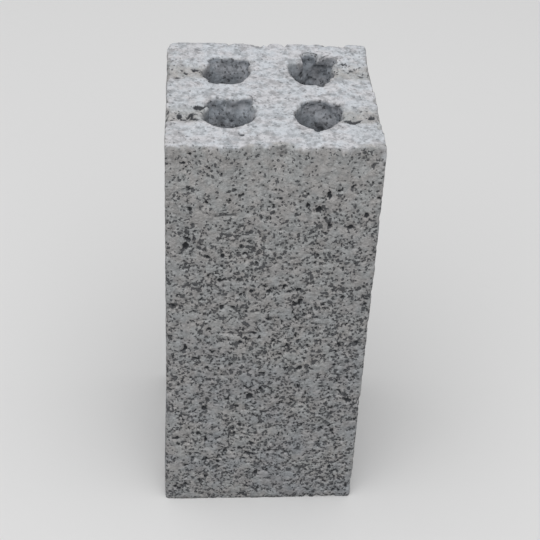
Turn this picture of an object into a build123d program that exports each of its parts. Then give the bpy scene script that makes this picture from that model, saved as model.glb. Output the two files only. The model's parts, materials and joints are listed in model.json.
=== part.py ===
from build123d import *
import os

# A machine-pressed concrete building block with four round cores, standing on its end as it was
# cast. It is one piece. All sizes are in millimetres.
# The origin is the middle of the base: X runs left to right, Y front to back and Z up.

# Overall size
block_width = 80.0
block_depth = 80.0
block_height = 180.0

# Cores: round holes from the top right through to the base, with equal walls between them
core_diameter = 19.0
cores_across = 2
cores_deep = 2

# Edges
corner_radius = 1.2  # the four upright edges, as the mould's corners leave them
rim_radius = 0.6  # the outer edge of the top, under the pressing shoe
mouth_radius = 1.2  # the cores' upper rims, dragged round as the mould is lifted off

# Bar marks: shallow troughs across the top, where the bars that hold the cores kept the shoe off
bar_mark_width = 8.0
bar_mark_depth = 1.0

# Seat marks: half-round scoops in the middle of the top's front and back edges, which run out to
# a point down the face
seat_mark_radius = 4.0
seat_mark_height = 8.0

# Walls between the cores and the faces, and the distances from core to core
wall_across = (block_width - cores_across * core_diameter) / (cores_across + 1)
wall_deep = (block_depth - cores_deep * core_diameter) / (cores_deep + 1)
pitch_across = core_diameter + wall_across
pitch_deep = core_diameter + wall_deep
outer_core_x = pitch_across * (cores_across - 1) / 2
outer_core_y = pitch_deep * (cores_deep - 1) / 2


def cast_body():
    """The plan of the block and its cores, drawn up to the full height, with its worn-round edges."""
    with BuildPart() as body:
        with BuildSketch():
            RectangleRounded(block_width, block_depth, corner_radius)
            with GridLocations(pitch_across, pitch_deep, cores_across, cores_deep):
                Circle(core_diameter / 2, mode=Mode.SUBTRACT)
        extrude(amount=block_height)
        top = body.faces().sort_by(Axis.Z)[-1]
        fillet(top.outer_wire().edges(), rim_radius)
        top = body.faces().sort_by(Axis.Z)[-1]
        mouths = [edge for wire in top.inner_wires() for edge in wire.edges()]
        fillet(mouths, mouth_radius)
    return body.part


def bar_marks():
    """One round-bottomed trough from each side face in to the outer cores, for each row of cores."""
    half_width = bar_mark_width / 2
    bar_radius = (half_width**2 + bar_mark_depth**2) / (2 * bar_mark_depth)
    reach = block_width / 2 - outer_core_x
    trough = Cylinder(bar_radius, reach + rim_radius, rotation=(0, 90, 0))
    across = outer_core_x + (reach + rim_radius) / 2
    up = block_height - bar_mark_depth + bar_radius
    rows = GridLocations(2 * across, pitch_deep, 2, cores_deep)
    return [Pos(0, 0, up) * place * trough for place in rows]


def seat_marks():
    """One half-round scoop in the middle of the top's front edge and one in its back edge."""
    scoop = Cone(
        0,
        seat_mark_radius,
        seat_mark_height,
        align=(Align.CENTER, Align.CENTER, Align.MAX),
    )
    edges = GridLocations(0, block_depth, 1, 2)
    return [Pos(0, 0, block_height) * place * scoop for place in edges]


def concrete_block():
    """The whole block: the cast body with the marks that the mould leaves in its top."""
    block = cast_body()
    for mark in bar_marks() + seat_marks():
        block -= mark
    return block


block = concrete_block()
block.label = "concrete_block"
os.makedirs("parts", exist_ok=True)
export_step(block, "parts/concrete_block.step")

solid_share = block.volume / (block_width * block_depth * block_height)
print("walls", round(wall_across, 2), round(wall_deep, 2), "volume", round(block.volume))
print("solid share of the outline", round(solid_share, 3))
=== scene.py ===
import json
import bpy
import numpy as np
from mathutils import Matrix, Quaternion, Vector
from types import SimpleNamespace


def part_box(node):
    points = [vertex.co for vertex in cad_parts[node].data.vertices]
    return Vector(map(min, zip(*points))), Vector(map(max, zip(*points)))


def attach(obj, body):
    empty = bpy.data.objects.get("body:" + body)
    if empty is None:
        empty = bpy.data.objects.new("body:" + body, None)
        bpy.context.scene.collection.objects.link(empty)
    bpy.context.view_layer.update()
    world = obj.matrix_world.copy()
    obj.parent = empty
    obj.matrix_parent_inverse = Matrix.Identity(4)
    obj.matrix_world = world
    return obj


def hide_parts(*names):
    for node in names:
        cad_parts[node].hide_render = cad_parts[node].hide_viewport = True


# A cored concrete block, pressed in a mould and stood on its end.
# Shapes are worked out in millimetres and put into the meshes in metres.
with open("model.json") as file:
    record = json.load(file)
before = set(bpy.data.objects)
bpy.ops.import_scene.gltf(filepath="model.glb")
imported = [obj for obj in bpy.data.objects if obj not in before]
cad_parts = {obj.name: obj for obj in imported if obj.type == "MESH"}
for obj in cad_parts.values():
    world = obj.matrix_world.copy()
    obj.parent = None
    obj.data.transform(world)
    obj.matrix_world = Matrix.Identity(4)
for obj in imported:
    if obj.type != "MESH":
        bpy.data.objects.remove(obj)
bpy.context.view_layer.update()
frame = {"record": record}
mm = 0.001

boxLow, boxHigh = (np.array(corner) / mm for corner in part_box("concrete_block"))
halfSide = (boxHigh[0] - boxLow[0]) / 2
blockHeight = boxHigh[2] - boxLow[2]
coreMounts = [mount for mount in frame["record"]["mounts"] if mount["kind"] == "bore"]
coreRadius = coreMounts[0]["dims"]["r_mm"]
coreOffset = max(mount["pos_m"][0] for mount in coreMounts) / mm  # core axes from the middle
print("frame loaded, block", round(2 * halfSide), "x", round(blockHeight), "mm")


# Random fields, each worked out for all points at once

slopes = np.array([[1, 1, 0], [-1, 1, 0], [1, -1, 0], [-1, -1, 0],
                   [1, 0, 1], [-1, 0, 1], [1, 0, -1], [-1, 0, -1],
                   [0, 1, 1], [0, -1, 1], [0, 1, -1], [0, -1, -1]], float)


def scramble(cubes, seed):
    # Whole number for each cube of a lattice: its place times large primes, folded over itself
    mixed = cubes[:, 0] * 73856093 ^ cubes[:, 1] * 19349663 ^ cubes[:, 2] * 83492791 ^ seed * 40503
    mixed = (mixed ^ mixed >> 15) * 739982445 & 0xFFFFFFFF
    mixed = (mixed ^ mixed >> 12) * 695872825 & 0xFFFFFFFF
    return mixed ^ mixed >> 15


def ripple(points, cell, seed):
    # Gradient noise: every corner of a lattice has a random slope, blended by 6t^5 - 15t^4 + 10t^3
    scaled = points / cell + seed * 3.7
    cubes = np.floor(scaled)
    inside = scaled - cubes
    fade = inside**3 * (inside * (inside * 6 - 15) + 10)
    cubes = cubes.astype(np.int64)
    total = np.zeros(len(points))
    for corner in np.ndindex(2, 2, 2):
        slope = slopes[scramble(cubes + corner, seed) % len(slopes)]
        weight = np.prod(np.where(corner, fade, 1 - fade), axis=1)
        total += weight * np.einsum("ij,ij->i", slope, inside - corner)
    return total


def grains(points, cell, seed):
    # One grain centre at random in each cube of a lattice: the distance to the nearest of them, in
    # cells, and a random value for that grain
    scaled = points / cell + seed * 3.7
    cubes = np.floor(scaled).astype(np.int64)
    nearest, tone = np.full(len(points), 9.0), np.zeros(len(points))
    for step in np.ndindex(3, 3, 3):
        cube = cubes + step - 1
        mixed = scramble(cube, seed)
        spot = cube + np.stack((mixed & 1023, mixed >> 10 & 1023, mixed >> 20 & 1023), axis=1) / 1023
        gap = np.linalg.norm(scaled - spot, axis=1)
        tone = np.where(gap < nearest, (mixed >> 5 & 1023) / 1023, tone)
        nearest = np.minimum(nearest, gap)
    return nearest, tone


def ramp(value, start, end):
    # 0 before start, 1 after end, and 3t^2 - 2t^3 between
    t = np.clip((value - start) / (end - start), 0, 1)
    return t * t * (3 - 2 * t)


def standOut(field, share):
    # How far a field rises over the level that leaves this share of the surface above it
    steps = np.linspace(0, 1, 201)
    return field - np.interp(1 - share, steps, np.quantile(field, steps))


# The smooth form: four like quarters, each with a core, a stretch of wall and two caps

form = {
    "pointsPerHalf": 80,  # mesh points along half a side
    "levelStep": 0.5,  # mm between the rows of points up the walls
    "topRows": 36,  # rows of points from a core's mouth out to the edge of its quarter
    "baseRows": 16,
    "arcRows": 3,  # rows of points round an edge
    "arcClear": 1.2,  # radii: the height at an edge that is kept clear of the walls' rows
    "cornerRound": 1.2,  # mm, as the solid's
    "rimRound": 0.6,
    "mouthRound": 1.2,
    "baseRound": 0.4,
    "coreFineDepth": 26,  # mm of each core under its mouth with close rows
    "coreFineStep": 0.6,
    "coreCoarseStep": 2.4,
    "weldSteps": 1000,  # to a mm: points in the same step are made one
    "weldShift": 0.12345,  # mm, so that no round size lies between two steps
    "softEdge": 6.0,  # mm in from an edge over which the way out of the concrete turns
    "trianglesKept": 190000,  # left when the flat stretches have been thinned
}


def edgeRows(levels, lowRound, highRound):
    # Rows from base to top as inset and height: a quarter circle, the levels, a quarter circle
    turn = np.linspace(0, np.pi / 2, form["arcRows"] + 1)
    away, onwards = 1 - np.sin(turn), 1 - np.cos(turn)
    clear = form["arcClear"]
    between = levels[(levels > lowRound * clear) & (levels < blockHeight - highRound * clear)]
    inset = np.concatenate((lowRound * away, 0 * between, highRound * onwards))
    height = np.concatenate((lowRound * onwards, between, blockHeight - highRound * away))
    return inset[:, None], height[:, None]


def roundedSquare(x, y, half, radius):
    # Nearest point of the square that is smaller by the radius, then the radius onwards
    coreX, coreY = np.minimum(x, half - radius), np.minimum(y, half - radius)
    length = np.hypot(x - coreX, y - coreY)
    return coreX + (x - coreX) / length * radius, coreY + (y - coreY) / length * radius


def gridFaces(rows, columns, closed, flipped):
    # Two triangles for each cell of a grid of points, their diagonals turned about from cell to cell,
    # and the last column joined to the first where closed
    index = np.arange(rows * columns).reshape(rows, columns)
    near = index if closed else index[:, :-1]
    far = np.roll(index, -1, axis=1) if closed else index[:, 1:]
    a, b, c, d = near[:-1], far[:-1], far[1:], near[1:]
    odd = (np.add.outer(np.arange(a.shape[0]), np.arange(a.shape[1])) % 2 == 1)[..., None]
    first = np.where(odd, np.stack((a, b, d), axis=-1), np.stack((a, b, c), axis=-1))
    last = np.where(odd, np.stack((b, c, d), axis=-1), np.stack((a, c, d), axis=-1))
    triangles = np.concatenate((first.reshape(-1, 3), last.reshape(-1, 3)))
    return triangles[:, ::-1] if flipped else triangles


def quarterGrids():
    # One quarter as grids of points: x and y run out from the block's middle, z up
    n = form["pointsPerHalf"]
    t = np.arange(n) / n
    loopX = np.concatenate((t, 0 * t + 1, 1 - t, 0 * t))  # once round the quarter's square
    loopY = np.concatenate((0 * t, t, 0 * t + 1, 1 - t))
    outer = slice(n, 3 * n + 1)  # the part of that loop on the block's outside
    angle = np.arctan2(loopY * halfSide - coreOffset, loopX * halfSide - coreOffset)

    levels = np.arange(0, blockHeight, form["levelStep"])
    inset, height = edgeRows(levels, form["baseRound"], form["rimRound"])
    half = halfSide - inset
    radius = form["cornerRound"] - inset
    wallX, wallY = roundedSquare(loopX[outer] * half, loopY[outer] * half, half, radius)
    wall = np.stack((wallX, wallY, height + 0 * wallX), axis=-1)

    fineFrom = blockHeight - form["coreFineDepth"]
    levels = np.concatenate((np.arange(0, fineFrom, form["coreCoarseStep"]),
                             np.arange(fineFrom, blockHeight, form["coreFineStep"])))
    outset, height = edgeRows(levels, form["baseRound"], form["mouthRound"])
    radius = coreRadius + outset
    core = np.stack((coreOffset + radius * np.cos(angle), coreOffset + radius * np.sin(angle),
                     height + 0 * angle), axis=-1)

    caps = []
    for row, rows in ((0, form["baseRows"]), (-1, form["topRows"])):
        along = np.linspace(0, 1, rows)[:, None, None]
        edge = np.stack((loopX * half[row], loopY * half[row], 0 * loopX + wall[row, 0, 2]), axis=-1)
        edge[outer] = wall[row]
        caps.append(core[row] * (1 - along) + edge * along)  # straight lines from mouth to edge
    return [(wall, False, False), (core, True, True), (caps[0], True, False), (caps[1], True, True)]


def smoothBlock():
    # The four quarters by mirroring one, with the points that meet made one
    points, faces, count = [], [], 0
    for signX, signY in ((1, 1), (-1, 1), (-1, -1), (1, -1)):
        for grid, closed, flipped in quarterGrids():
            points.append(grid.reshape(-1, 3) * (signX, signY, 1))
            turned = flipped != (signX * signY < 0)
            faces.append(gridFaces(grid.shape[0], grid.shape[1], closed, turned) + count)
            count += len(points[-1])
    points, faces = np.concatenate(points), np.concatenate(faces)
    places = np.floor((points + form["weldShift"]) * form["weldSteps"]).astype(np.int64)
    _, first, same = np.unique(places, axis=0, return_index=True, return_inverse=True)
    return points[first], same.reshape(-1)[faces]


def wayOut(points):
    # Unit way out of the concrete: from the nearest point of a core shape that lies softEdge deep
    core = points.copy()
    inner = halfSide - form["softEdge"]
    core[:, :2] = np.clip(core[:, :2], -inner, inner)
    core[:, 2] = np.clip(core[:, 2], form["softEdge"], blockHeight - form["softEdge"])
    axis = np.where(core[:, :2] < 0, -coreOffset, coreOffset)
    away = core[:, :2] - axis
    gap = np.hypot(away[:, 0], away[:, 1])[:, None]
    core[:, :2] = axis + away / gap * np.maximum(gap, coreRadius + form["softEdge"])
    out = points - core
    return out / np.linalg.norm(out, axis=1)[:, None]


# Breaks in plan: where the mouths and the top's edges have broken back from the smooth form, and
# where the mix has slumped into the mouths

wear = {
    "drawnOut": 0.3,  # the noise changes this much more slowly down the walls
    "wanderSize": 2.6,  # mm, noise of the breaks' outlines
    "rollSize": 7.0,
    "mouthRagged": 0.4,  # mm that the mouths' rims wander
    "mouthRaggedDepth": 3.0,  # mm down from the top where that has run out
    "edgeRagged": {"right": 0.7, "back": 0.2, "left": 0.8, "front": 0.5},  # mm, the top's edges
    "edgeRaggedDepth": 2.0,
    "edgeRoll": 0.7,  # shares of the two noises in that
    "edgeWander": 0.7,
    "notchWander": 0.3,  # share of the wandering noise in the breaks of the edges
    "largeLobe": 3.0,  # mm of reach from which a lobe's outline wanders in full
    "lobeRagged": 1.1,  # mm outwards
    "lobeRoll": 0.6,  # share of the rolling noise in that
    "lobeTurned": 7.0,  # degrees sideways
    "lobeOpens": 3.0,  # mm above its start over which a lobe opens
    "lobeFades": 0.3,  # share of its depth from which it fades
    "depthRoll": 0.5,  # shares of the two noises in its depth
    "depthWander": 0.4,
    "slump": 0.2,  # mm that the mix has slumped into the mouths all round
    "slumpDepth": (1.0, 6.0),
    "mouthBlend": 8.0,  # mm away from a mouth by which the top is as pressed again
    "edgeBlend": 6.0,
}

# Lobes at the mouths: core by its signs, direction in degrees from +X, half width in degrees, reach,
# and the depths where it starts and ends
lobes = [
    (1, 1, 90, 17.5, 6.4, 0.0, 12.0),
    (1, 1, 52, 18, 6.6, 0.0, 12.0),
    (1, 1, 72, 36, 5.2, 4.5, 24.0),
    (1, 1, 135, 22, 1.0, 0.0, 6.0),
    (1, 1, 287, 11, 1.9, 0.0, 4.0),
    (-1, 1, 90, 46, 1.8, 0.0, 9.0),
    (-1, 1, 50, 18, 3.3, 0.0, 8.0),
    (-1, 1, 118, 17, 3.0, 0.0, 7.0),
    (-1, 1, 235, 16, 1.3, 0.0, 4.0),
    (-1, -1, 116, 23, 3.9, 0.0, 8.0),
    (-1, -1, 90, 40, 1.9, 0.0, 9.0),
    (-1, -1, 58, 18, 4.9, 0.0, 9.0),
    (-1, -1, 56, 7, 6.4, 0.0, 5.0),
    (-1, -1, 35, 22, 1.3, 0.0, 5.0),
    (1, -1, 68, 50, 2.9, 0.0, 10.0),
    (1, -1, 104, 22, 2.2, 0.0, 8.0),
    (1, -1, 268, 10, 1.1, 0.0, 7.0),
]

# Slumps into the mouths: core by its signs, direction and half width in degrees, and reach
slumps = [
    (-1, -1, 312, 60, 1.4),
    (1, -1, 325, 42, 2.0),
    (1, -1, 195, 75, 1.2),
    (-1, 1, 338, 52, 1.6),
    (1, 1, 200, 55, 1.5),
    (1, 1, 337, 40, 1.5),
]

# Breaks in the top's edges, by face: middle and half width along the edge, reach inwards and depth
# down the face. The first at the front is the seat mark, and the four after it are the worn rim.
walls = {"right": (1, 0), "back": (0, 1), "left": (-1, 0), "front": (0, -1)}
breaks = {
    "front": [
        (2.1, 4.6, 2.4, 20.0),
        (35.0, 8.5, 2.0, 26.0),
        (-31.0, 11.0, 1.5, 26.0),
        (-8.0, 5.5, 1.7, 26.0),
        (18.0, 6.0, 1.4, 26.0),
    ],
    "back": [
        (-2.6, 3.8, 1.3, 9.0),
        (17.0, 2.4, 0.5, 2.0),
        (-38.5, 2.6, 0.5, 3.0),
        (38.5, 3.0, 0.6, 3.0),
    ],
    "right": [
        (17.0, 14.0, 1.1, 4.0),
        (-15.0, 7.0, 0.5, 3.0),
    ],
    "left": [
        (16.5, 5.5, 0.8, 2.5),
        (-17.0, 5.0, 0.8, 2.5),
    ],
}


def hump(away, half):
    # Half-round: 1 in the middle and 0 from half on, as the square root of 1 - t^2
    return np.sqrt(np.clip(1 - (away / half) ** 2, 0, 1))


def turnFrom(turned, middle):
    # Degrees from a direction, between -180 and 180
    return (turned - middle + 180) % 360 - 180


def roundCore(points):
    # For each point: its quarter's signs, its unit way out from the core's axis, how far it is from
    # there, and its direction in degrees
    side = np.where(points[:, :2] < 0, -1, 1)
    away = points[:, :2] - side * coreOffset
    gap = np.hypot(away[:, 0], away[:, 1])
    return side, away / gap[:, None], gap, np.degrees(np.arctan2(away[:, 1], away[:, 0]))


def slumped(points):
    # Shift in plan towards the core's axis: a little all round and each slump's reach, which falls
    # off sideways, down the wall and away from the mouth
    side, away, gap, turned = roundCore(points)
    reach = wear["slump"] + 0 * gap
    for signX, signY, middle, half, far in slumps:
        mine = (side[:, 0] == signX) * (side[:, 1] == signY)
        reach += far * (1 - ramp(abs(turnFrom(turned, middle)), 0, half)) * mine
    reach *= 1 - ramp(blockHeight - points[:, 2], *wear["slumpDepth"])
    reach *= 1 - ramp(gap - coreRadius, 0, wear["mouthBlend"])
    return np.column_stack((-away * reach[:, None], 0 * reach))


def brokenMouths(points, wander, roll):
    # Shift in plan away from the core's axis: the furthest of the core's lobes, each half-round in
    # direction and fading down the wall
    fromTop = blockHeight - points[:, 2]
    sunk = fromTop * (1 + wear["depthRoll"] * roll + wear["depthWander"] * wander)
    side, away, gap, turned = roundCore(points)
    reach = (1 - ramp(fromTop, 0, wear["mouthRaggedDepth"])) * wear["mouthRagged"] * wander
    ragged = wear["lobeRagged"] * (wander + wear["lobeRoll"] * roll)
    for signX, signY, middle, half, far, begin, end in lobes:
        large = min(1, far / wear["largeLobe"])
        turn = turnFrom(turned, middle) + wear["lobeTurned"] * wander * large
        lobe = hump(turn, half) * (far + ragged * large)
        lobe *= ramp(fromTop, begin - wear["lobeOpens"], begin)
        lobe *= 1 - ramp(sunk, wear["lobeFades"] * end, end)
        mine = (side[:, 0] == signX) & (side[:, 1] == signY)
        reach = np.where(mine, np.maximum(reach, lobe), reach)
    reach *= 1 - ramp(gap - coreRadius, 0, wear["mouthBlend"])
    return np.column_stack((away * reach[:, None], 0 * reach))


def brokenEdges(points, wander, roll):
    # Shift in plan inwards from each face: the furthest of a ragged rim and the face's breaks, each
    # half-round along the edge and fading down the face
    x, y, z = points.T
    fromTop = blockHeight - z
    ragged = np.clip(wear["edgeRoll"] * roll + wear["edgeWander"] * wander, 0, 1)
    ragged *= 1 - ramp(fromTop, 0, wear["edgeRaggedDepth"])
    moved = np.zeros_like(points)
    for face, (faceX, faceY) in walls.items():
        fromFace = halfSide - x * faceX - y * faceY
        along = x if faceX == 0 else y
        reach = wear["edgeRagged"][face] * ragged
        for middle, half, far, deep in breaks[face]:
            notch = hump(along - middle, half) * far * (1 + wear["notchWander"] * wander)
            reach = np.maximum(reach, notch * (1 - ramp(fromTop, 0, deep)))
        reach = reach * (1 - ramp(fromFace, 0, wear["edgeBlend"]))
        moved[:, 0] -= faceX * reach
        moved[:, 1] -= faceY * reach
    return moved


def brokenBack(points):
    # Shift in plan of each point by the breaks: away from the cores' axes and inwards from the faces
    drawn = points * (1, 1, wear["drawnOut"])
    wander = ripple(drawn, wear["wanderSize"], 11) + 0.5 * ripple(drawn, wear["wanderSize"] / 2, 12)
    roll = ripple(drawn, wear["rollSize"], 13)
    return brokenMouths(points, wander, roll) + brokenEdges(points, wander, roll)


# The surface: how deep each point sinks below the broken form. Depths and sizes are in mm, and a pair
# gives where a change begins and where it is complete.

zones = {
    "top": (0.2, 0.8),  # a point within the first lies on the top, and one beyond the second doesn't
    "base": (0.2, 1.0),
    "face": (0.2, 1.0),
    "core": (0.4, 1.6),
}

# Weights of the noises in each blend of them, with what is added to it
blends = {
    "void": {"middle": 1, "small": 0.42, "tiny": 0.2},
    "pit": {"small": 1, "tiny": 0.5, "middle": 0.15},
    "outline": {"small": 0.5, "middle": 0.45},  # of a void
    "height": {"lump": 0.9, "middle": 0.7},
    "topOutline": {"tiny": 0.7, "lump": 0.3},
    "loose": {"added": 0.5, "small": 1.4, "tiny": 0.6},
    "crumbly": {"lump": 1, "patch": 0.5, "middle": 0.6, "small": 0.4},
    "barSide": {"middle": 2.2, "lump": 2.4, "small": 1.2},
    "barDepth": {"added": 0.75, "lump": 0.9, "middle": 0.9},
    "barSkin": {"added": 1.0, "small": 0.9, "middle": 0.6},
    "lip": {"added": 0.9, "middle": 0.8, "small": 0.6},
    "seat": {"small": 0.4, "middle": 0.36, "lump": 0.3},
    # painted shade of the seat mark
    "seatShade": {"added": 0.26, "middle": 0.3, "small": 0.25},
    "broken": {"middle": 1.2, "small": 1, "tiny": 0.6},
    "sand": {"small": 0.07, "tiny": 0.05},
    "thinSkin": {"added": 0.7, "middle": 1.1, "small": 0.9},
}

mix = {
    "slowSize": 21,  # of the noises, from the slowest
    "patchSize": 11,
    "lumpSize": 5.5,
    "voidSize": 2.4,
    "pitSize": 1.4,
    "tinySize": 0.55,  # of the pits' size
    "tightest": 0.28,  # how open the mix is just under the top
    "opens": (2, 62),  # down from the top, from there to 1
    "looserBy": 0.35,  # and further
    "loosens": (80, 180),
    "patchy": 0.5,
    "keptWithin": (0.05, 2),
    "pressedTight": 0.7,  # how much less open the top itself is
    "baseLoose": 0.8,
    "stoneSize": 5.6,
    "stoneShare": 0.42,  # of the stones are covered smoothly
    "stoneSpread": 0.06,
    "stoneEdge": (0.38, 0.6),  # shares of the stones' size
    "stoneUneven": 0.9,
    "openBetween": 1.35,  # how much more open the mix is between such stones
    "closedOnStones": 1.3,  # and how much less on them
}

relief = {
    "wave": 0.22,  # slow unevenness of the mould faces
    "lump": 0.10,
    "grainSize": 2.3,
    "grainRise": 0.10,
    "grainStretch": (1, 1, 1.15),
    "stoneRise": 0.12,
    "calmWave": 0.5,  # how much less of these there is on the pressed top
    "calmGrain": 0.6,
    "voidShare": 0.036,  # of the open stretches of the mould faces
    "voidDepth": 1.5,
    "voidEdge": 0.22,
    "pitShare": 0.075,
    "pitDepth": 0.7,
    "pitEdge": 0.2,
    "dotSize": 1.7,  # between single round pits
    "dotShare": 0.27,
    "dotFades": 0.06,
    "dotEdge": (0.2, 0.44),  # shares of their spacing
    "dotUneven": 0.3,
    "bowlEdge": (0.55, 1.05),  # of the voids listed below, as shares of their size
    "frontReach": 3.0,  # where those in the front face and in the top run out, going in
    "topReach": 3.0,
    "uneven": 0.8,  # how much their outlines wobble
    "topUneven": 1.5,
    "looseReach": 4.0,  # of the loose mix round those in the top
    "looseWide": 2.4,  # its size as a multiple of theirs, and what is added to it
    "looseLong": 2.0,
    "looseMore": 1,
    "looseDepth": 0.5,
    "edgeCrumble": 1.5,
    "edgeReach": 1.4,
    "cornerShare": 0.55,
    "cornerReach": 1.6,
    "mouthCrumble": 0.3,
    "mouthReach": 1.2,
    "crumbly": (-0.1, 0.8),  # levels of the noise that says where they crumble
    "barWidth": 8.0,
    "barDepth": 0.9,
    "barFade": (0.3, 0.9),  # shares of its width
    "barStart": (5, 10),  # out from the core's axis
    "barHeight": (1, 3),
    "barWithin": (0, 2),  # multiples of its depth
    "lipDepth": 0.7,  # how far the mouths are dragged round to their left and right
    "lipWidth": 1.6,
    "lipLean": 0.4,  # share of it on their left
    "lipHeight": (1, 5),
    "lipWithin": (0.2, 2),
    "seatPlace": 2.8,  # right of the middle
    "seatSize": (6.0, 5.0, 9.0),
    "seatDepth": 0.5,
    "breakLump": 1.3,  # roughness of broken stretches
    "breakStart": (0.8, 2.4),  # how much is broken off
    "faceBreaks": 0.8,  # by which that begins later on the faces
    "coreBreaks": 0.45,  # by which it is less in the cores
    "coreShare": 0.5,  # relief in the cores, as a share of that outside
    "proud": 0.15,  # how far the skin between the pits stands over the solid's faces
    "footSpread": 0.6,  # how far the foot swells while the mix is wet, more to the left
    "footTilt": 0.4,
    "footBack": 0.15,  # and less to the back
    "footHeight": 75,
    "footWave": 0.5,  # share by which the slow noise changes it
    "footRough": 0.22,
    "footRoughHeight": 5,
}

pressedSkin = {  # the pressed skin of the top
    "reach": (0.8, 1.8),  # how far it runs down into the mouths
    "sideLightReach": (1, 5),  # and, more thinly, at their left and right, as painted light on the walls' upper part
    "sideLightShare": 0.35,
    "mouthWidth": (1, 2),
    "mouthOff": (0.5, 1.5),  # mm broken off by which it has gone there
    "edgeOff": (1.2, 1.8),  # and at the top's edges
    "edgeOffShare": 0.9,
    "edgeWidth": (3, 4),
    "crumbledOff": (0.3, 1.3),
    "lipOff": 0.5,  # share of it gone on the lips
    "thinFrom": (24, 36),  # from the middle: it is thinner towards the left and right faces
    "thinLeft": 0.24,
    "thinRight": 0.12,
    "thinWithin": (0, 1.6),
    "smearWidth": 2.2,  # it runs down one upright edge
    "smearHeight": (5, 13),
    "smearShare": 0.55,
}

paintedPitShade = {  # painted shade: how dark the material makes each kind of hollow, and crumbled and broken stretches, for the shade that falls in them
    "lessOnTop": 0.25,
    "lessInCores": 0.55,
    "crumbled": 0.12,
    "broken": 0.24,
    "brokenFrom": 0.7,  # added to the noise in that
    "seatWithin": (0, 0.42),
}

# Deep pits in the top, most of them in the bar marks: x, y, half width across and deep, depth
topVoids = [
    (-35.6, -17.2, 1.3, 1.8, 2.4),
    (-33.4, -18.8, 1.2, 1.5, 2.2),
    (-30.8, -16.6, 1.5, 2.2, 2.6),
    (-28.8, -18.8, 1.2, 1.4, 2.0),
    (-27.4, -10.8, 2.2, 1.7, 1.6),
    (-32.6, 16.6, 1.3, 1.6, 1.1),
    (-28.4, 18.8, 1.8, 1.5, 1.0),
    (-37.0, 11.4, 2.2, 0.9, 0.9),
    (29.2, -20.4, 2.6, 1.8, 1.1),
    (37.0, -17.0, 1.6, 1.2, 1.2),
    (29.4, 23.6, 1.9, 1.5, 0.9),
    (33.0, 19.6, 1.9, 1.2, 0.7),
    (36.2, 14.2, 1.5, 1.1, 0.7),
    (8.6, 22.0, 1.0, 1.0, 0.9),
    (-12.4, -31.0, 1.0, 0.9, 0.9),
    (16.1, -25.6, 1.1, 1.2, 3.0),
]

# Voids in the walls of the cores, close under their mouths: x, y, z, half width and depth
coreVoids = [
    (14.1, 25.7, 173.8, 1.7, 1.9),
    (23.2, 23.3, 172.3, 1.4, 0.8),
    (16.7, 26.0, 169.4, 1.3, 0.7),
    (-11.9, -8.2, 177.2, 1.4, 0.8),
    (-15.4, -7.0, 176.6, 1.2, 0.7),
    (18.7, -7.3, 168.0, 1.8, 1.4),
    (14.2, -7.3, 172.0, 1.3, 0.8),
    (-16.3, 26.0, 170.2, 1.4, 0.6),
    (-15.3, 25.9, 176.4, 1.2, 0.6),
]

# The larger voids of the front face: x, z, half width, half height and depth
frontVoids = [
    (16.6, 153.6, 1.6, 1.4, 1.8),
    (29.1, 145.5, 1.3, 1.2, 1.6),
    (-32.5, 136.5, 1.2, 1.6, 1.7),
    (10.6, 108.5, 2.2, 0.9, 1.8),
    (12.2, 110.2, 0.9, 1.3, 1.5),
    (13.5, 75.5, 1.6, 1.1, 1.8),
    (-6.1, 59.6, 1.3, 1.8, 1.9),
    (2.5, 158.4, 1.0, 0.9, 1.3),
    (20.4, 159.6, 0.9, 1.5, 1.4),
    (-7.1, 114.9, 0.9, 0.9, 1.3),
    (-0.2, 115.0, 0.9, 1.0, 1.3),
    (-18.4, 107.1, 1.0, 1.5, 1.3),
    (-10.5, 89.0, 1.0, 0.9, 1.3),
    (-5.0, 93.8, 1.1, 0.8, 1.4),
    (-12.0, 93.8, 7.5, 0.7, 0.5),
    (-24.6, 52.8, 1.3, 1.1, 1.5),
    (35.0, 57.8, 1.6, 1.8, 1.9),
    (-2.1, 15.9, 1.1, 1.7, 1.5),
    (34.8, 150.9, 0.9, 1.4, 1.3),
    (-18.0, 150.4, 6.0, 0.7, 0.5),
]


def placed(points, brokenOff):
    # What is known of each point: its place, how far it is from the edges and cores, shares from 0 to
    # 1 of lying on the top, the base, a face or a core's wall, and the noise there, slowest first
    x, y, z = points.T
    at = SimpleNamespace(points=points, x=x, y=y, z=z, brokenOff=brokenOff)
    at.fromTop = blockHeight - z
    at.fromSide = halfSide - np.maximum(abs(x), abs(y))
    at.fromCorner = np.hypot(halfSide - abs(x), halfSide - abs(y))
    at.fromAxis = np.hypot(abs(x) - coreOffset, abs(y) - coreOffset)
    at.fromCore = at.fromAxis - coreRadius
    at.across = (x - np.where(x < 0, -coreOffset, coreOffset)) / at.fromAxis  # -1 left to 1 right
    at.onTop = 1 - ramp(at.fromTop, *zones["top"])
    at.onBase = 1 - ramp(z, *zones["base"])
    at.onFace = 1 - ramp(at.fromSide, *zones["face"])
    at.inCore = 1 - ramp(at.fromCore, *zones["core"])
    at.slow = ripple(points, mix["slowSize"], 1)
    at.patch = ripple(points, mix["patchSize"], 2)
    at.lump = ripple(points, mix["lumpSize"], 3)
    at.middle = ripple(points, mix["voidSize"], 9)
    at.small = ripple(points, mix["pitSize"], 5)
    at.tiny = ripple(points, mix["pitSize"] * mix["tinySize"], 6)
    return at


def blend(at, use):
    # The noises of a blend, each times its weight, and what is added to them
    weights = dict(blends[use])
    added = weights.pop("added", 0.0)
    return sum((weight * getattr(at, name) for name, weight in weights.items()), added)


def nudged(at, amount, *names):
    # The points moved by three noises, one for each axis
    return at.points + amount * np.stack([getattr(at, name) for name in names], axis=1)


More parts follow.
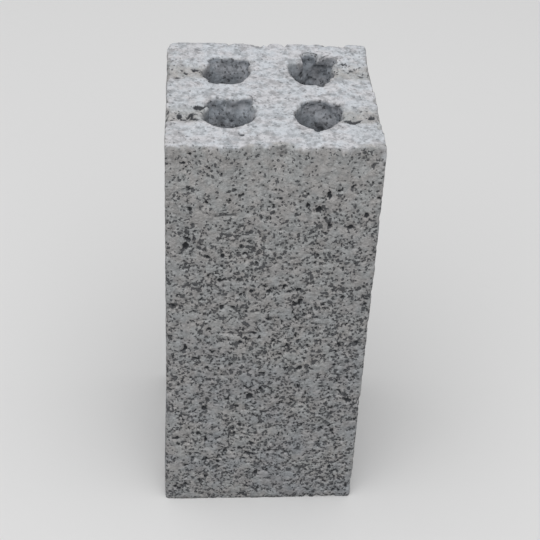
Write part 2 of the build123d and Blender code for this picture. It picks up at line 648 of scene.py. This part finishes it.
def opened(at):
    # How open the mix is, from 0 for pressed tight to 1 and more, and where cement covers a stone:
    # more open down from the top, in patches and on the base, and less on the covered stones
    openness = mix["tightest"] + (1 - mix["tightest"]) * ramp(at.fromTop, *mix["opens"])
    openness += mix["looserBy"] * ramp(at.fromTop, *mix["loosens"]) + mix["patchy"] * at.patch
    openness = np.clip(openness, *mix["keptWithin"]) * (1 - mix["pressedTight"] * at.onTop)
    openness += mix["baseLoose"] * at.onBase
    spots = nudged(at, mix["stoneUneven"], "small", "middle", "lump")
    stone, cover = grains(spots, mix["stoneSize"], 8)
    level = 1 - mix["stoneShare"]
    covered = ramp(cover, level - mix["stoneSpread"], level + mix["stoneSpread"])
    covered *= 1 - ramp(stone, *mix["stoneEdge"])
    return openness * (mix["openBetween"] - mix["closedOnStones"] * covered), covered


def dent(offsets, sizes, wobble):
    # Bowl: 1 in the middle, falling to 0 at an edge that the wobble makes uneven
    gap = np.sqrt(sum((offset / size) ** 2 for offset, size in zip(offsets, sizes))) + wobble
    return 1 - ramp(gap, *relief["bowlEdge"])


def hollows(at, openness):
    # Depth of the hollows: the deepest of voids and pits where two noises stand out, single round
    # pits, and the listed voids as bowls with uneven edges
    voids = standOut(blend(at, "void"), relief["voidShare"] * openness)
    pits = standOut(blend(at, "pit"), relief["pitShare"] * openness)
    spots = nudged(at, relief["dotUneven"], "small", "tiny", "middle")
    gap, chance = grains(spots, relief["dotSize"], 14)
    dots = ramp(relief["dotShare"] * openness - chance, 0, relief["dotFades"])
    dots *= 1 - ramp(gap, *relief["dotEdge"])
    hollow = relief["pitDepth"] * np.maximum(ramp(pits, 0, relief["pitEdge"]), dots)
    hollow = np.maximum(hollow, relief["voidDepth"] * ramp(voids, 0, relief["voidEdge"]))

    outline = blend(at, "outline")
    uneven = relief["uneven"] * outline
    height = at.z + blend(at, "height")
    for voidX, voidZ, wide, tall, deep in frontVoids:
        offsets = (at.x - voidX, at.y + halfSide, height - voidZ)
        void = dent(offsets, (wide, relief["frontReach"], tall), uneven)
        hollow = np.maximum(hollow, deep * void)
    for voidX, voidY, voidZ, wide, deep in coreVoids:
        offsets = (at.x - voidX, at.y - voidY, at.z - voidZ)
        hollow = np.maximum(hollow, deep * dent(offsets, (wide, wide, wide), uneven))
    # Those in the top have loose mix round them
    ragged = relief["topUneven"] * outline + blend(at, "topOutline")
    looseness = relief["looseDepth"] * np.clip(blend(at, "loose"), 0, 1) ** 2
    more = relief["looseMore"]
    for voidX, voidY, wide, long, deep in topVoids:
        offsets = (at.x - voidX, at.y - voidY, at.fromTop)
        void = dent(offsets, (wide, long, relief["topReach"]), ragged)
        looseSizes = (relief["looseWide"] * wide + more, relief["looseLong"] * long + more,
                      relief["looseReach"])
        loose = dent(offsets, looseSizes, ragged) * looseness
        hollow = np.maximum(hollow, deep * np.maximum(void, loose))
    return hollow


def bell(distance, reach):
    # Bell: 1 at no distance, e^-1 at the reach
    return np.exp(-(distance / reach) ** 2)


def crumbled(at):
    # Depth to which edges, corners and mouths have crumbled, where the mix was left loose
    toEdge = np.minimum(np.hypot(at.fromTop, at.fromSide), np.hypot(at.z, at.fromSide))
    edge = bell(toEdge, relief["edgeReach"])
    edge = np.maximum(edge, relief["cornerShare"] * bell(at.fromCorner, relief["cornerReach"]))
    mouth = bell(np.hypot(at.fromTop, np.maximum(at.fromCore, 0)), relief["mouthReach"])
    crumbly = ramp(blend(at, "crumbly"), *relief["crumbly"])
    return np.maximum(relief["edgeCrumble"] * edge, relief["mouthCrumble"] * mouth) * crumbly


def barMarks(at):
    # Rough shallow strips in the top from the side faces to the cores, as shares from 0 to 1
    fromBar = abs(abs(at.y) - coreOffset) + blend(at, "barSide")
    bar = 1 - ramp(fromBar / relief["barWidth"], *relief["barFade"])
    bar *= ramp(abs(at.x) - coreOffset, *relief["barStart"])
    return bar * (1 - ramp(at.fromTop, *relief["barHeight"]))


def lips(at):
    # The mouths are dragged round on the two sides that the bars held: with the square of the cosine
    # of the direction, and falling off as a bell out from the mouth
    lip = at.across**2 * np.where(at.across < 0, relief["lipLean"], 1)
    lip *= bell(np.maximum(at.fromCore, 0), relief["lipWidth"])
    lip *= 1 - ramp(at.fromTop, *relief["lipHeight"])
    return lip * np.clip(blend(at, "lip"), *relief["lipWithin"])


def seatMark(at):
    # Where the mix broke away in the middle of the front edge
    offsets = (at.x - relief["seatPlace"], at.y + halfSide, at.fromTop)
    return dent(offsets, relief["seatSize"], blend(at, "seat"))


def swollen(at):
    # How far the faces stand out: the proud skin, and the foot that has spread, rough at the floor
    tilt = relief["footSpread"] - relief["footTilt"] * at.x / halfSide
    tilt -= relief["footBack"] * np.maximum(at.y, 0) / halfSide
    low = 1 - ramp(at.z, 0, relief["footHeight"])
    spread = relief["proud"] + tilt * low * (1 + relief["footWave"] * at.slow)
    lowest = 1 - ramp(at.z, 0, relief["footRoughHeight"])
    return (spread + relief["footRough"] * (at.middle + at.small) * lowest) * at.onFace


def skinAt(at, crumble, bar, lip, seat):
    # Share of pressed skin: all of the top and a little way into the mouths, more at their left and
    # right as painted light on the walls' upper part, but off where the concrete is crumbled, broken or
    # marked, and what runs down one edge
    # Painted light: the cores' walls at their left and right ends made lighter near the mouth, as where
    # light falls in from above
    paintedSideLight = pressedSkin["sideLightShare"] * at.across**2 * (1 - ramp(at.fromTop, *pressedSkin["sideLightReach"]))
    skinned = np.maximum(1 - ramp(at.fromTop, *pressedSkin["reach"]), paintedSideLight)
    skinned *= 1 - ramp(at.fromCore, *pressedSkin["mouthWidth"])
    skinned *= 1 - ramp(at.brokenOff, *pressedSkin["mouthOff"])
    skinned = np.maximum(at.onTop, skinned)
    pressed = skinned * (1 - ramp(crumble, *pressedSkin["crumbledOff"]))
    pressed *= np.clip(1 - bar * blend(at, "barSkin"), 0, 1)
    pressed *= (1 - np.clip(pressedSkin["lipOff"] * lip, 0, 1)) * (1 - seat)
    atEdge = 1 - ramp(at.fromSide, *pressedSkin["edgeWidth"])
    pressed *= 1 - pressedSkin["edgeOffShare"] * ramp(at.brokenOff, *pressedSkin["edgeOff"]) * atEdge
    thin = pressedSkin["thinLeft"] * ramp(-at.x, *pressedSkin["thinFrom"])
    thin += pressedSkin["thinRight"] * ramp(at.x, *pressedSkin["thinFrom"])
    pressed *= 1 - thin * np.clip(blend(at, "thinSkin"), *pressedSkin["thinWithin"])
    smear = bell(np.hypot(halfSide - at.x, halfSide + at.y), pressedSkin["smearWidth"])
    smear *= 1 - ramp(at.fromTop, *pressedSkin["smearHeight"])
    return skinned, np.maximum(pressed, pressedSkin["smearShare"] * smear)


def surface(points, brokenOff):
    # Depth of every point below the broken form, with what the material needs: how much of a pit it
    # is, as painted shade for hollows, crumbled and broken stretches and the seat mark, how far it is
    # pressed skin, core wall or open mix
    at = placed(points, brokenOff)
    openness, covered = opened(at)
    hollow, crumble = hollows(at, openness), crumbled(at)
    bar, lip, seat = barMarks(at), lips(at), seatMark(at)

    nearest, _ = grains(points * relief["grainStretch"], relief["grainSize"], 7)
    rough = relief["wave"] * at.slow * (1 - relief["calmWave"] * at.onTop) + relief["lump"] * at.lump
    rough -= relief["grainRise"] * (0.5 - nearest) * (1 - relief["calmGrain"] * at.onTop)
    rough += hollow + blend(at, "sand") - relief["stoneRise"] * covered
    barDepth = relief["barDepth"] * np.clip(bar * blend(at, "barDepth"), *relief["barWithin"])
    marks = (crumble, barDepth, relief["lipDepth"] * lip, relief["seatDepth"] * seat)
    depth = rough * (1 - (1 - relief["coreShare"]) * at.inCore) + np.maximum.reduce(marks) - swollen(at)
    broken = ramp(brokenOff - relief["faceBreaks"] * (1 - at.inCore), *relief["breakStart"])
    broken *= 1 - at.onTop
    facets = blend(at, "broken") * (1 - relief["coreBreaks"] * at.inCore)
    depth += relief["breakLump"] * broken * facets

    # The pit value is painted shade: the material darkens hollows, crumbled edges, broken stretches and
    # the seat mark with it
    pit = hollow * (1 - paintedPitShade["lessOnTop"] * at.onTop) + paintedPitShade["crumbled"] * crumble
    pit += paintedPitShade["broken"] * broken * at.onFace * (paintedPitShade["brokenFrom"] + at.small)
    pit = np.clip(pit, 0, 1) * (1 - paintedPitShade["lessInCores"] * at.inCore)
    # Painted shade in the broken seat mark, mottled by noise, so that its upward slope reads dark
    pit = np.maximum(pit, seat * np.clip(blend(at, "seatShade"), *paintedPitShade["seatWithin"]))
    skinned, pressed = skinAt(at, crumble, bar, lip, seat)
    looks = {"pit": pit, "pressed": pressed, "inCore": at.inCore * (1 - skinned),
             "open": np.clip(openness, 0, 1)}
    return depth, looks


def thinOut(piece):
    # Fewer triangles, taken away where the surface is flattest, and still none below the floor
    dense = piece.data
    thin = piece.modifiers.new("thin", "DECIMATE")
    thin.ratio = form["trianglesKept"] / len(dense.polygons)
    bpy.context.view_layer.update()
    evaluated = piece.evaluated_get(bpy.context.evaluated_depsgraph_get())
    finished = bpy.data.meshes.new_from_object(evaluated)
    piece.modifiers.clear()
    piece.data = finished
    finished.name = "concreteBlock"
    finished.polygons.foreach_set("use_smooth", np.ones(len(finished.polygons), bool))
    places = np.empty(3 * len(finished.vertices), np.float32)
    finished.vertices.foreach_get("co", places)
    places[2::3] = np.maximum(places[2::3], 0)
    finished.vertices.foreach_set("co", places)
    bpy.data.meshes.remove(dense)
    print("thinned to", len(finished.polygons), "faces")


def buildBlock():
    points, triangles = smoothBlock()
    print("smooth form:", len(points), "points,", len(triangles), "triangles")
    moved = brokenBack(points)
    depth, looks = surface(points, np.linalg.norm(moved, axis=1))
    # The base keeps flat on the floor: nothing there goes below it
    worn = points + moved + slumped(points) - wayOut(points) * depth[:, None]
    worn[:, 2] = np.maximum(worn[:, 2], 0)
    deepest, proudest = round(float(depth.max()), 2), round(float(-depth.min()), 2)
    print("surface: deepest", deepest, "mm, proudest", proudest, "mm")

    mesh = bpy.data.meshes.new("concreteBlock")
    mesh.from_pydata(worn * mm, [], triangles)
    for name, values in looks.items():
        values = values.astype(np.float32)
        mesh.attributes.new(name, "FLOAT", "POINT").data.foreach_set("value", values)
    mesh.update()
    piece = bpy.data.objects.new("concrete_block_skin", mesh)
    bpy.context.scene.collection.objects.link(piece)
    thinOut(piece)
    return piece


# Materials. Noises and grains are given by how many there are to a mm.

finish = {
    "skin": (0.474, 0.473, 0.470),  # cement skin of the mould faces
    "coolSkin": (0.402, 0.411, 0.428),
    "pressedSkin": (0.634, 0.649, 0.682),
    "coreSkin": (0.323, 0.342, 0.372),
    # painted shade laid into the pits, gaps and seams
    "hollow": (0.072, 0.075, 0.082),
    "warmTint": (1.016, 0.995, 0.986),  # slow drift of hue over all of it
    "coolTint": (0.984, 1.005, 1.014),
    "clouds": {"perMm": 0.06, "detail": 4, "low": 0.36, "high": 0.66},  # patches of cool skin
    "coolFrom": 190.0,  # mm above the base where they begin, and where they are complete
    "coolTo": 10.0,
    "tints": {"perMm": 0.17, "detail": 2, "low": 0.38, "high": 0.62},
    "looseSeams": {"perMm": 0.35, "detail": 3, "low": 0.42, "high": 0.62},
    "freckles": {"perMm": 0.33, "detail": 5, "low": 0.44, "high": 0.62, "rough": 0.7},
    "freckleTone": 0.85,  # how much darker the pressed top's freckles are
    "sand": {"perMm": 1.6, "detail": 5, "rough": 0.75},
    "sandLevels": (0.3, 0.7),
    "sandTone": 0.085,  # how much lighter or darker it is, up and down
    "grainBend": {"Scale": 0.9, "Detail": 3.0, "Roughness": 0.6},
    "bendReach": 1.6,  # mm
    "dome": (0.85, 0.15),  # share of a grain's size where it begins, and where it is full
    "coreCalm": 0.35,  # how much plainer the cores' walls are, as a share of the pressed top
    "calmContrast": 0.52,  # contrast of the grains on the pressed top, in tight mix and in loose
    "tightContrast": 0.8,
    "looseContrast": 1.12,
    "calmGaps": 0.55,  # gaps on the pressed top, as a share of those on the faces
    "tightHolds": 0.10,  # taken from a grain's own level: fewer are missing in tight mix
    "looseHolds": -0.03,
    "seamDepth": 0.35,
    # painted shade of the pits and gaps: its ragged edge, its levels, and how dark the gaps are
    "pitShadeRagged": 0.5,
    "pitShadeLevels": (0.18, 0.62),
    "gapShade": 0.86,
    "sandHeight": 0.6,
    "bumpHeight": 0.00027,  # m
    "roughness": 0.93,
    "shine": 0.25,
}

# Grains of two sizes
grits = {
    "large": {
        "perMm": 0.68,
        "shift": 0.0,  # mm along each axis, so that the two sizes don't start from the same places
        "tone": 0.10,  # how much lighter or darker single grains are, up and down
        "away": (0.95, 1.0),  # levels over which a grain is missing
        "domeAway": 0.08,  # and what its dome adds to that
        "height": 0.35,
    },
    "fine": {
        "perMm": 1.20,
        "shift": 31.0,
        "tone": 0.13,
        "away": (0.885, 0.94),
        "domeAway": 0.10,
        "height": 0.45,
    },
}


class Nodes:
    # Short calls for a node tree: value inputs are set, and sockets are linked
    def __init__(self, owner):
        owner.use_nodes = True
        self.tree = owner.node_tree
        self.tree.nodes.clear()

    def add(self, kind, inputs=(), **settings):
        node = self.tree.nodes.new("ShaderNode" + kind)
        for name, value in settings.items():
            setattr(node, name, value)
        for key, value in dict(inputs).items():
            if isinstance(value, bpy.types.NodeSocket):
                self.tree.links.new(value, node.inputs[key])
            else:
                node.inputs[key].default_value = value
        return node

    def math(self, operation, a, b):
        return self.add("Math", {0: a, 1: b}, operation=operation).outputs[0]

    def plus(self, a, b):
        return self.math("ADD", a, b)

    def minus(self, a, b):
        return self.math("SUBTRACT", a, b)

    def times(self, a, b):
        return self.math("MULTIPLY", a, b)

    def larger(self, a, b):
        return self.math("MAXIMUM", a, b)

    def moved(self, place, way, operation="ADD"):
        return self.add("VectorMath", {0: place, 1: way}, operation=operation).outputs[0]

    def scaled(self, vector, factor):
        return self.add("VectorMath", {0: vector, "Scale": factor}, operation="SCALE").outputs[0]

    def between(self, share, start, end):
        # Straight from start at 0 to end at 1
        return self.add("MapRange", {0: share, 3: start, 4: end}).outputs[0]

    def step(self, value, low, high):
        # 0 at low and 1 at high, and smooth between
        levels = {0: value, 1: low, 2: high, 3: 0.0, 4: 1.0}
        return self.add("MapRange", levels, interpolation_type="SMOOTHSTEP").outputs[0]

    def mix(self, share, a, b, blend="MIX"):
        a, b = ((*colour, 1) if isinstance(colour, tuple) else colour for colour in (a, b))
        return self.add("Mix", {0: share, 6: a, 7: b}, data_type="RGBA", blend_type=blend).outputs[2]

    def noise(self, place, perMm, detail, rough=0.6):
        settings = {"Vector": place, "Scale": perMm, "Detail": detail, "Roughness": rough}
        return self.add("TexNoise", settings).outputs["Fac"]

    def patches(self, place, low, high, **noise):
        # Patches of a noise: 0 under its low level and 1 over its high one
        return self.step(self.noise(place, **noise), low, high)

    def attribute(self, name):
        return self.add("Attribute", attribute_name=name, attribute_type="GEOMETRY").outputs["Fac"]

    def seen(self):
        # 1 for rays that show the background, straight or mirrored, and 0 for those that give light
        path = self.add("LightPath").outputs
        mirrored = self.larger(path["Is Glossy Ray"], path["Is Transmission Ray"])
        return self.larger(path["Is Camera Ray"], mirrored)


def grainLayer(n, place, tight, grit):
    # Rounded grains with two random values each: their tone, where one is missing, and their domes
    place = n.moved(place, (grit["shift"],) * 3)
    settings = {"Vector": place, "Scale": grit["perMm"], "Randomness": 1.0}
    grain = n.add("TexVoronoi", settings, feature="F1").outputs
    random = n.add("SeparateColor", {0: grain["Color"]}).outputs
    dome = n.step(grain["Distance"], *finish["dome"])
    tone = n.times(n.minus(random[0], 0.5), 2 * grit["tone"])
    away = n.minus(n.plus(random[1], n.times(dome, grit["domeAway"])), tight)
    return tone, n.step(away, *grit["away"]), dome


def bentPlace(n, place):
    # Places moved a little by noise, so that no grain's outline is straight
    bend = n.add("TexNoise", {"Vector": place, **finish["grainBend"]}).outputs["Color"]
    bend = n.scaled(n.moved(bend, (0.5, 0.5, 0.5), "SUBTRACT"), finish["bendReach"])
    return n.moved(place, bend)


def plainSkin(n, place, pressed, inCore):
    # Skin with slow cool patches, other in the cores and on the pressed top, and tinted all over
    fromBase = n.add("SeparateXYZ", {0: place}).outputs["Z"]
    low = n.step(fromBase, finish["coolFrom"], finish["coolTo"])
    coolness = n.times(n.patches(place, **finish["clouds"]), low)
    skin = n.mix(coolness, finish["skin"], finish["coolSkin"])
    skin = n.mix(inCore, skin, finish["coreSkin"])
    skin = n.mix(pressed, skin, finish["pressedSkin"])
    tint = n.mix(n.patches(place, **finish["tints"]), finish["warmTint"], finish["coolTint"])
    return n.mix(1.0, skin, tint, "MULTIPLY")


def concreteMaterial():
    material = bpy.data.materials.new("pressedConcrete")
    n = Nodes(material)
    inMm = {"Vector": n.add("TexCoord").outputs["Object"], "Scale": (1 / mm,) * 3}
    place = n.add("Mapping", inMm).outputs[0]
    # The pit attribute carries the painted shade of hollows, crumbled and broken stretches
    pit, pressed = n.attribute("pit"), n.attribute("pressed")
    inCore, loose = n.attribute("inCore"), n.attribute("open")
    calm = n.larger(pressed, n.times(inCore, finish["coreCalm"]))

    # Grains of sand and grit
    tight = n.between(loose, finish["tightHolds"], finish["looseHolds"])
    bent = bentPlace(n, place)
    largeTone, largeGap, largeDome = grainLayer(n, bent, tight, grits["large"])
    fineTone, fineGap, fineDome = grainLayer(n, bent, tight, grits["fine"])
    sand = n.noise(place, **finish["sand"])

    # Skin: each grain a little lighter or darker, and freckles on the pressed top
    low, high = finish["sandLevels"]
    sandTones = {0: sand, 1: low, 2: high, 3: -finish["sandTone"], 4: finish["sandTone"]}
    varied = n.plus(n.plus(largeTone, fineTone), n.add("MapRange", sandTones).outputs[0])
    freckled = n.times(n.patches(place, **finish["freckles"]), pressed)
    varied = n.minus(varied, n.times(freckled, finish["freckleTone"]))
    contrast = n.between(calm, 1.0, finish["calmContrast"])
    contrast = n.times(contrast, n.between(loose, finish["tightContrast"], finish["looseContrast"]))
    toned = n.scaled(plainSkin(n, place, pressed, inCore), n.plus(1.0, n.times(varied, contrast)))

    # Gaps: places where a grain is missing, and the seams between loose grains, sunk in the bump and
    # given painted shade below
    seam = n.times(n.minus(1.0, largeDome), n.patches(place, **finish["looseSeams"]))
    gaps = n.larger(n.larger(fineGap, largeGap), n.times(seam, finish["seamDepth"]))
    gaps = n.times(gaps, n.between(calm, 1.0, finish["calmGaps"]))

    # Hollows: painted shade, the hollow colour laid over the mesh's own pits with a sharper, uneven
    # edge, and over those gaps
    ragged = n.plus(pit, n.times(n.minus(sand, 0.5), finish["pitShadeRagged"]))
    hollow = n.larger(n.step(ragged, *finish["pitShadeLevels"]), n.times(gaps, finish["gapShade"]))
    colour = n.mix(hollow, toned, finish["hollow"])

    # Fine relief: domed grains, sand on them, and the gaps
    largeDome = n.times(largeDome, grits["large"]["height"])
    fineDome = n.times(fineDome, grits["fine"]["height"])
    domes = n.plus(n.plus(largeDome, fineDome), n.times(sand, finish["sandHeight"]))
    height = n.minus(domes, gaps)
    bump = n.add("Bump", {"Height": n.times(height, contrast), "Distance": finish["bumpHeight"]})
    shader = n.add("BsdfPrincipled", {"Base Color": colour, "Roughness": finish["roughness"],
                                      "Normal": bump.outputs[0], "Specular IOR Level": finish["shine"]})
    n.tree.links.new(shader.outputs[0], n.add("OutputMaterial").inputs[0])
    return material


# Floor, light and camera

studio = {
    "floorSize": 6.0,
    "floorShown": 0.80,  # grey of the floor where it is seen, and as it lights the block
    "floorGiven": 0.30,
    "floorRough": 0.9,
    "floorShine": 0.1,
    "skyShown": 0.93,  # the same of the sky
    "skyGiven": 0.41,
    "lampSize": 3.0,
    "lampPlace": (-0.2, -0.8, 2.0),
    "lampAim": (0, 0, 0.15),
    "lampWatts": 41.0,
}


def buildFloor():
    size = studio["floorSize"]
    mesh = bpy.data.meshes.new("floor")
    corners = np.array([(-1, -1, 0), (1, -1, 0), (1, 1, 0), (-1, 1, 0)]) * size / 2
    mesh.from_pydata(corners, [], [(0, 1, 2, 3)])
    floor = bpy.data.objects.new("floor", mesh)
    bpy.context.scene.collection.objects.link(floor)
    material = bpy.data.materials.new("paleFloor")
    n = Nodes(material)
    colour = n.mix(n.seen(), (studio["floorGiven"],) * 3, (studio["floorShown"],) * 3)
    shader = n.add("BsdfPrincipled", {"Base Color": colour, "Roughness": studio["floorRough"],
                                      "Specular IOR Level": studio["floorShine"]})
    n.tree.links.new(shader.outputs[0], n.add("OutputMaterial").inputs[0])
    mesh.materials.append(material)


def buildLight():
    world = bpy.data.worlds.new("studioSky")
    bpy.context.scene.world = world
    n = Nodes(world)
    given = n.add("Background", {"Color": (1, 1, 1, 1), "Strength": studio["skyGiven"]})
    shown = n.add("Background", {"Color": (1, 1, 1, 1), "Strength": studio["skyShown"]})
    either = n.add("MixShader", {0: n.seen(), 1: given.outputs[0], 2: shown.outputs[0]})
    n.add("OutputWorld", {"Surface": either.outputs[0]})

    lamp = bpy.data.lights.new("softLamp", "AREA")
    lamp.size, lamp.energy = studio["lampSize"], studio["lampWatts"]
    holder = bpy.data.objects.new("softLamp", lamp)
    holder.location = studio["lampPlace"]
    aim = Vector(studio["lampAim"]) - holder.location
    holder.rotation_euler = aim.to_track_quat("-Z", "Y").to_euler()
    bpy.context.scene.collection.objects.link(holder)


view = {
    "place": (-0.032, -0.437, 0.427),  # where the photograph was taken from
    "aim": (0.003, 0.0, 0.095),
    "lens": 87.0,  # mm, as the sensor
    "sensor": 36,
    "nearest": 0.01,  # m
    "roll": 3.0,
}


def buildCamera():
    lens = bpy.data.cameras.new("camera")
    lens.lens, lens.sensor_width = view["lens"], view["sensor"]
    lens.clip_start = view["nearest"]
    camera = bpy.data.objects.new("camera", lens)
    camera.location = view["place"]
    aim = Vector(view["aim"]) - camera.location
    turn = aim.to_track_quat("-Z", "Y") @ Quaternion((0, 0, 1), np.radians(view["roll"]))
    camera.rotation_euler = turn.to_euler()
    bpy.context.scene.collection.objects.link(camera)
    bpy.context.scene.camera = camera


block = buildBlock()
block.data.materials.clear()
block.data.materials.append(concreteMaterial())
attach(block, "root")
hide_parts("concrete_block")
print("block built")

buildFloor()
buildLight()
buildCamera()
bpy.context.scene.view_settings.view_transform = "Standard"
print("floor, light and camera set")
